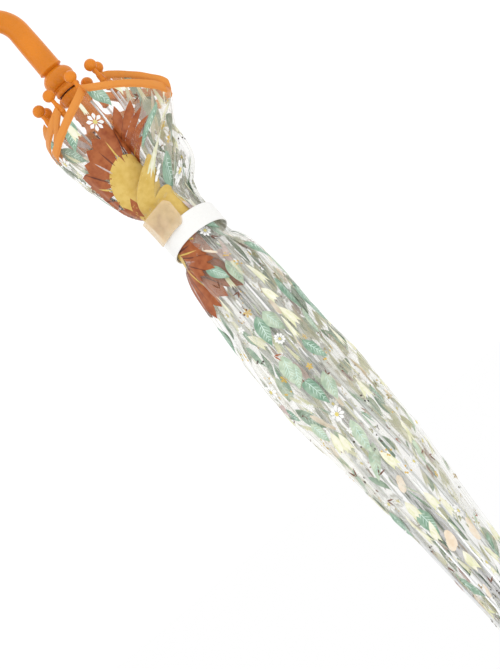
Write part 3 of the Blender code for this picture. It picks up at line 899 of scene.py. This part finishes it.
def clear_film(name):
    """Clear vinyl: nearly invisible face on, milky edge on, with a painted line along the pleat's fold: a
    painted highlight on the ridge between bands of painted shade.
    """
    finish = Finish(name, IOR=1.48)
    vector = finish.place("UV")
    cloud = finish.noise(vector, 38.0, 3.0)
    strands = finish.noise(finish.place("UV", (1.0, 0.06, 1.0)), 300.0, 2.0)
    milky = [(0.34, (0.63, 0.60, 0.47)), (0.50, (0.87, 0.85, 0.75)), (0.62, (0.96, 0.95, 0.89))]
    tone = finish.ramp(strands, milky)
    # Painted highlight and painted shade along the pleat's ridge: white on the fold, dark olive bands
    # either side.
    from_middle = finish.math("SUBTRACT", finish.split(vector)["X"], FILM_UV_WIDTH / 2)
    off_ridge = finish.math("ABSOLUTE", from_middle)
    fold_light_mask = finish.span(off_ridge, 1.0, 0.0, 0.0004, 0.0018)
    fold_highlight_and_shade = [(0.25, (0.30, 0.29, 0.20)), (0.60, (0.50, 0.49, 0.40)), (0.85, (0.98, 0.98, 0.96))]
    painted_fold_light = finish.ramp(fold_light_mask, fold_highlight_and_shade)
    mix = finish.node("ShaderNodeMix", data_type="RGBA")
    finish.link(finish.span(off_ridge, 1.0, 0.0, 0.0014, 0.0018), mix.inputs["Factor"])
    finish.link(tone, mix.inputs["A"])
    finish.link(painted_fold_light, mix.inputs["B"])
    finish.drive("Base Color", mix.outputs["Result"])
    edge = finish.node("ShaderNodeLayerWeight", Blend=0.35)
    grazing = finish.math("POWER", edge.outputs["Facing"], 2.2)
    # The painted fold line is also made more opaque along the ridge, on top of the film's random haze.
    haze_and_fold_light = finish.math("ADD", finish.span(cloud, 0.05, 0.10), finish.math("MULTIPLY", fold_light_mask, 0.45))
    milk_and_fold_light = finish.math("ADD", finish.math("MULTIPLY", grazing, 0.56), haze_and_fold_light)
    finish.drive("Alpha", milk_and_fold_light)
    finish.drive("Roughness", finish.span(cloud, 0.06, 0.16))
    streaks = finish.noise(finish.place("UV", (1.0, 0.18, 1.0)), 420.0, 2.0)
    finish.bump(streaks, 0.10, 0.0003)
    return finish.material


def woven(name, color, pitch, roughness, depth):
    """Tape with crossing threads and painted shade in the weave's hollows; UV is in metres along and
    across it.
    """
    finish = Finish(name, Sheen_Weight=0.15)
    place = finish.split(finish.place("UV"))
    turns = TURN / pitch
    along = finish.math("SINE", finish.math("MULTIPLY", place["X"], turns))
    across = finish.math("SINE", finish.math("MULTIPLY", place["Y"], turns))
    weave = finish.math("MULTIPLY", along, across)
    fuzz = finish.noise(finish.place(), 700.0, 3.0)
    height = finish.math("ADD", weave, finish.math("MULTIPLY", fuzz, 0.8))
    # Partly painted shade: darker where the weave sits low and lighter on raised threads, plus random fuzz
    # in the tone.
    weave_shade_and_fuzz = finish.span(height, 0.0, 1.0, -1.0, 1.6)
    finish.tint(weave_shade_and_fuzz, [(0.1, shade(color, 0.84)), (0.9, shade(color, 1.05))])
    finish.drive("Roughness", finish.span(fuzz, roughness - 0.05, roughness + 0.08))
    finish.bump(height, depth, 0.0002)
    return finish.material


def ink(name, color, pale):
    """Watercolour ink: soft blotches between a full and a pale tone."""
    finish = Finish(name, IOR=1.45, Specular_IOR_Level=0.35)
    vector = finish.place()
    blotch = finish.noise(vector, 210.0, 5.0)
    finish.tint(blotch, [(0.32, color), (0.62, pale)])
    grain = finish.noise(vector, 1800.0, 2.0)
    finish.drive("Roughness", finish.span(grain, 0.28, 0.46))
    return finish.material


def frosted(name, color):
    finish = Finish(name, IOR=1.47, Subsurface_Weight=0.1, Subsurface_Radius=(0.004, 0.003, 0.002))
    vector = finish.place()
    cloud = finish.noise(vector, 120.0, 4.0)
    finish.tint(cloud, [(0.3, shade(color, 0.9)), (0.7, color)])
    finish.drive("Alpha", finish.span(cloud, 0.46, 0.62))
    finish.drive("Roughness", finish.span(finish.noise(vector, 900.0, 3.0), 0.32, 0.5))
    finish.bump(finish.noise(vector, 1500.0, 2.0), 0.15, 0.0002)
    return finish.material


def make_inks():
    tones = [
        ("leaf", (0.165, 0.3, 0.205), (0.32, 0.455, 0.34)),
        ("leaf_pale", (0.35, 0.47, 0.34), (0.56, 0.65, 0.5)),
        ("vein", (0.56, 0.73, 0.64), (0.68, 0.82, 0.74)),
        ("petal", (0.9, 0.895, 0.88), (0.84, 0.84, 0.82)),
        ("centre", (0.76, 0.62, 0.16), (0.64, 0.56, 0.22)),
        ("tulip", (0.7, 0.71, 0.42), (0.8, 0.79, 0.58)),
        ("tulip_pale", (0.8, 0.78, 0.58), (0.86, 0.84, 0.72)),
        ("peach", (0.78, 0.64, 0.47), (0.85, 0.76, 0.64)),
        ("brown", (0.12, 0.04, 0.022), (0.19, 0.075, 0.04)),
        ("rust", (0.27, 0.058, 0.014), (0.39, 0.115, 0.034)),
        ("rust_dark", (0.09, 0.02, 0.01), (0.17, 0.045, 0.02)),
        ("mustard", (0.6, 0.4, 0.085), (0.68, 0.48, 0.13)),
        ("dark", (0.03, 0.022, 0.02), (0.08, 0.06, 0.05)),
        ("mauve", (0.42, 0.29, 0.27), (0.62, 0.5, 0.46)),
    ]
    return [ink(f"ink_{name}", full, pale) for name, full, pale in tones]


# Rigid pieces


def add_handle(material):
    """Crook handle: a cup at its top, a bulb, a straight grip and a round hook."""
    inside = [(0.0051, 0.0100), (0.0051, 0.0340), (0.0060, 0.0368), (0.0074, 0.0400), (0.0079, 0.0413)]
    lip = [(0.0083, 0.0417), (0.0090, 0.0417), (0.0096, 0.0411), (0.0099, 0.0401), (0.0097, 0.0391)]
    neck = [(0.00935, 0.0384), (0.0096, 0.0378), (0.0104, 0.0368)]
    bulb = []
    for degrees in range(52, -64, -8):
        angle = radians(degrees)
        bulb.append((0.0119 * cos(angle) ** 0.9, BULB_Z + 0.0089 * sin(angle)))
    grip = [(0.0091, 0.0206), (0.00875, 0.0190), (0.0087, 0.0150), (0.0086, 0.0)]
    grip.append((CROOK_THICK, CROOK_TURN_Z))
    profile = curve_through(inside, 3) + curve_through(lip + neck + bulb + grip, 3)
    sides = 56
    points = turned_rings(profile, sides)
    bend_steps = 44
    for step in range(1, bend_steps + 1):
        taper = (CROOK_THICK - CROOK_THIN) * float(smooth_step(step / bend_steps))
        points += crook_ring(pi * step / bend_steps, 0.0, CROOK_THICK - taper, sides)
    straight = CROOK_END_Z - CROOK_TURN_Z - CROOK_THIN
    for degrees in range(0, 91, 10):
        angle = radians(min(degrees, 88))
        rise = straight + CROOK_THIN * sin(angle)
        points += crook_ring(pi, rise, CROOK_THIN * cos(angle), sides)
    faces = tube_faces(len(points) // sides, sides)
    handle = make_piece("crook_handle", points, faces, [material], smooth_angle=60.0)
    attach(handle, "shaft")
    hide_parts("handle")


def crook_ring(angle, rise, radius, sides):
    """A ring of the hook at an angle round its bend, moved up by rise past the bend's end."""
    c, s = cos(angle), sin(angle)
    centre = Vector((CROOK_RADIUS * (1.0 - c), 0.0, CROOK_TURN_Z - CROOK_RADIUS * s + rise))
    out = Vector((c, 0.0, s))
    ring = []
    for k in range(sides):
        turn = TURN * k / sides
        ring.append(centre + radius * (cos(turn) * out + Vector((0.0, sin(turn), 0.0))))
    return ring


def add_tip(rib, material):
    """Ball tip: a socket with two rings, a thin neck and a ball."""
    profile = [(0.0013, 0.0108), (0.0013, 0.0222), (0.0020, 0.0224), (0.0026, 0.0218), (0.0027, 0.0208)]
    profile += [(0.0023, 0.0202), (0.0023, 0.0160), (0.0027, 0.0154), (0.0027, 0.0140), (0.0023, 0.0134)]
    profile += [(0.0022, 0.0100), (0.0016, 0.0078), (0.0015, 0.0054)]
    for degrees in range(70, -91, -10):
        angle = radians(max(degrees, -87))
        profile.append((TIP_BALL_RADIUS * cos(angle), TIP_BALL_RADIUS * sin(angle)))
    sides = 28
    dense = curve_through(profile, 2)
    points = np.array(turned_rings(dense, sides)) + np.array([FLARE_LINE, 0.0, TIP_BALL_Z])
    world = to_world(rib, *points.T)
    faces = tube_faces(len(dense), sides)
    tip = make_piece(f"ball_tip_{rib + 1}", world, faces, [material], smooth_angle=45.0)
    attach(tip, f"rod_{rib + 1}")
    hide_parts(f"tip_{rib + 1}")


def add_strap(material):
    """Closing strap round the furled film: a woven band whose front sags towards the handle."""
    steps = 120
    half, deep = STRAP_HALF, STRAP_DEPTH / 2
    section = [(-half, 0.0), (-half + 0.0003, deep), (-half + 0.0012, deep), (-half / 2, deep * 0.8)]
    section += [(half / 2, deep * 0.8), (half - 0.0012, deep), (half - 0.0003, deep), (half, 0.0)]
    section += [(half - 0.0003, -deep), (0.0, -deep), (-half + 0.0003, -deep)]
    ripple = waves(900, 4, 3.0, 40.0)
    points, uvs = [], []
    for k in range(steps):
        angle = TURN * k / steps
        for height, out in section:
            bow = STRAP_RIPPLE * float(ripple(k / steps, height))
            crown = STRAP_RIPPLE * (1.0 - (height / half) ** 2)
            radius = STRAP_RADIUS + STRAP_RIPPLE + out + bow + crown
            x, y = radius * cos(angle) + STRAP_SHIFT, radius * sin(angle)
            points.append((x, y, STRAP_Z + height + STRAP_TILT * sin(angle)))
            uvs.append((STRAP_RADIUS * angle, height))
    faces = loop_faces(steps, len(section))
    strap = make_piece("strap_band", points, faces, [material], uvs=uvs, smooth_angle=50.0)
    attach(strap, "rod_1")
    out = Vector((cos(FIRST_RIB), sin(FIRST_RIB), 0.0))
    tuple(out)
    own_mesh(strap)
    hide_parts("strap")


def add_strap_tab(material):
    """Frosted end of the strap, below the band at the front."""
    x, y, _ = JOINTS["strap_tab_peel"]["pos_m"]
    hinge, radius = atan2(y, x), hypot(x, y) + 0.0012
    box_low, box_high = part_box("strap_tab")
    low, high = box_low.z - 0.0015, box_high.z - 0.0010
    lead = radians(7.0)
    columns, rows = 36, 14
    half = 0.00045
    sheets = []
    for side in (1.0, -1.0):
        for row in range(rows + 1):
            v = row / rows
            for column in range(columns + 1):
                t = column / columns
                pinch = 1.0 - max(0.0, (t - 0.86) / 0.14) ** 2 * 0.42
                angle = hinge + lead - (TAB_SPAN + lead) * t
                z = 0.5 * (low + high) + (v - 0.5) * (high - low) * pinch - 0.0025 * sin(1.2 * t)
                flare = 0.0016 * (1.0 - v) ** 2 + 0.0006 * sin(9.0 * t + 2.0 * v)
                r = radius + flare + half * side
                sheets.append((r * cos(angle), r * sin(angle), z))
    count = (rows + 1) * (columns + 1)
    outer = grid_faces(rows + 1, columns + 1)
    faces = [tuple(reversed(face)) for face in outer] + [tuple(k + count for k in face) for face in outer]
    rim = list(range(columns + 1))
    rim += [row * (columns + 1) + columns for row in range(1, rows + 1)]
    rim += [rows * (columns + 1) + k for k in reversed(range(columns))]
    rim += [row * (columns + 1) for row in reversed(range(1, rows))]
    for first, second in zip(rim, rim[1:] + rim[:1]):
        faces.append((first, second, second + count, first + count))
    tab = make_piece("strap_end", sheets, faces, [material], smooth_angle=50.0)
    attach(tab, "strap_tab")
    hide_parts("strap_tab")


def tube_along(route, radius, sides):
    """Vertices and faces of a round tube along points."""
    route = [Vector(point) for point in route]
    points = []
    for k, centre in enumerate(route):
        ahead = route[min(k + 1, len(route) - 1)] - route[max(k - 1, 0)]
        side = ahead.cross(Vector((0.0, 1.0, 0.0))).normalized()
        other = ahead.cross(side).normalized()
        for s in range(sides):
            turn = TURN * s / sides
            points.append(centre + radius * (cos(turn) * side + sin(turn) * other))
    return points, [tuple(reversed(face)) for face in tube_faces(len(route), sides)]


def add_rib_link(rib, material):
    """A short spring wire that carries a rib's rod across its flex joint."""
    number = rib + 1
    heights = np.linspace(RIVET[1] + LINK_ABOVE, RIVET[1] - LINK_BELOW, 23)
    route = [(float(rod_line(z)), 0.0, z) for z in heights]
    points, faces = tube_along(route, LINK_RADIUS, 14)
    world = to_world(rib, *np.array(points).T)
    link = make_piece(f"rib_link_{number}", world, faces, [material], smooth_angle=50.0)
    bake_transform(link)


def add_crown_cover(material):
    """Moulded cover that closes the film over the crown, just under the ferrule."""
    outside = [(0.0062, 0.0092), (0.0106, 0.0090), (0.0126, 0.0076), (0.0137, 0.0056)]
    rim = [(0.0143, 0.0038), (0.0144, 0.0028), (0.0138, 0.0027), (0.0136, 0.0038)]
    inside = [(0.0128, 0.0056), (0.0118, 0.0070), (0.0062, 0.0074)]
    profile = [(radius, CROWN[1] + rise) for radius, rise in outside + rim + inside]
    sides = 64
    points = turned_rings(profile, sides)
    faces = loop_faces(len(profile), sides)
    cover = make_piece("crown_cover", points, faces, [material], smooth_angle=35.0)
    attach(cover, "shaft")


# Stage


def make_stage():
    """A wide pale floor."""
    rings = [(0.4 * 1.35**k, 0.0) for k in range(11)]
    sides = 96
    points = [(x, y, FLOOR_Z) for x, y, _ in turned_rings(rings, sides)]
    points.append((0.0, 0.0, FLOOR_Z))
    faces = grid_faces(len(rings), sides, closed=True)
    faces += [(len(points) - 1, (k + 1) % sides, k) for k in range(sides)]
    white = (1.0, 1.0, 1.0, 1.0)
    finish = Finish("studio_paper", Roughness=0.95, Emission_Color=white, Emission_Strength=0.16)
    cloud = finish.noise(finish.place(), 3.0, 2.0)
    finish.tint(cloud, [(0.3, (0.90, 0.90, 0.90)), (0.7, (0.92, 0.92, 0.92))])
    make_piece("studio_floor", points, faces, [finish.material])


def add_light(name, place, aim, size, power):
    data = bpy.data.lights.new(name, "AREA")
    data.shape = "RECTANGLE"
    data.size, data.size_y = size
    data.energy = power
    light = add_object(name, data)
    light.location = place
    light.rotation_euler = (Vector(aim) - Vector(place)).to_track_quat("-Z", "Y").to_euler()


def make_lights():
    centre = (0.0, 0.0, 0.26)
    add_light("key_strip", (-0.9, -1.5, 0.7), centre, (0.07, 1.7), 3.2)
    add_light("side_strip", (1.5, -1.0, 0.3), centre, (0.05, 1.7), 2.4)
    add_light("front_strip", (0.25, -1.9, 0.9), centre, (0.04, 1.2), 1.4)
    add_light("back_light", (0.6, 1.8, 1.6), centre, (0.5, 0.9), 0.8)
    world = bpy.data.worlds.new("studio_world")
    world.use_nodes = True
    background = world.node_tree.nodes["Background"]
    background.inputs["Color"].default_value = (1.0, 1.0, 1.0, 1.0)
    background.inputs["Strength"].default_value = 1.0
    SCENE.world = world


def make_camera():
    data = bpy.data.cameras.new("view")
    data.sensor_width = SENSOR
    data.lens = SENSOR * VIEW_DISTANCE / VIEW_HEIGHT
    data.clip_start, data.clip_end = 0.02, 50.0
    c, s = cos(VIEW_ROLL), sin(VIEW_ROLL)
    right = Vector((-s, 0.0, c))
    up = Vector((-c, 0.0, -s))
    back = Vector((0.0, -1.0, 0.0))
    rise = Matrix.Rotation(-VIEW_RISE, 3, "X")
    right, up, back = rise @ right, rise @ up, rise @ back
    camera = add_object("view", data)
    turn = Matrix((right, up, back)).transposed().to_4x4()
    camera.matrix_world = Matrix.Translation(VIEW_TARGET + back * VIEW_DISTANCE) @ turn
    SCENE.camera = camera


def set_material(nodes, material):
    for name in nodes:
        for slot in frame["nodes"][name].material_slots:
            slot.material = material


def build():
    orange = (0.68, 0.210, 0.012)
    handle_plastic = moulded_plastic("orange_handle", orange, 0.26)
    tip_plastic = moulded_plastic("orange_tips", shade(orange, 1.04), 0.30)
    hub_plastic = moulded_plastic("orange_hubs", shade(orange, 0.96), 0.36)
    chrome = drawn_metal("plated_shaft", (0.66, 0.66, 0.67), 0.18, 1.0)
    steel = drawn_metal("rib_wire", (0.78, 0.79, 0.80), 0.30, 1.0)
    film = clear_film("clear_vinyl")
    tape = woven("orange_tape", (0.74, 0.265, 0.030), 0.0009, 0.62, 0.25)
    thread = woven("orange_thread", (0.70, 0.240, 0.030), 0.0004, 0.60, 0.20)
    band = woven("white_band", (0.89, 0.885, 0.86), 0.0008, 0.66, 0.22)
    inks = make_inks()

    set_material(["shaft_tube"], chrome)
    set_material(["crown_wire", "runner_wire", "stop_pin", "lower_catch", "upper_catch"], steel)
    set_material(["crown_notch", "ferrule_tip", "runner"], hub_plastic)
    add_handle(handle_plastic)
    add_crown_cover(hub_plastic)
    add_strap(band)
    add_strap_tab(frosted("frosted_vinyl", (0.80, 0.62, 0.38)))
    for rib in range(RIB_COUNT):
        number = rib + 1
        set_material([f"rib_inner_{number}", f"rib_outer_{number}", f"stretcher_{number}"], steel)
        add_rib_link(rib, steel)
        add_tip(rib, tip_plastic)
        add_film(rib, True, film)
        add_film(rib, False, film)
        add_hem_tape(rib, tape, thread)
        add_prints(rib, inks)


make_camera()
make_stage()
make_lights()
build()
SCENE.cycles.transparent_max_bounces = 64
SCENE.view_settings.view_transform = "Standard"
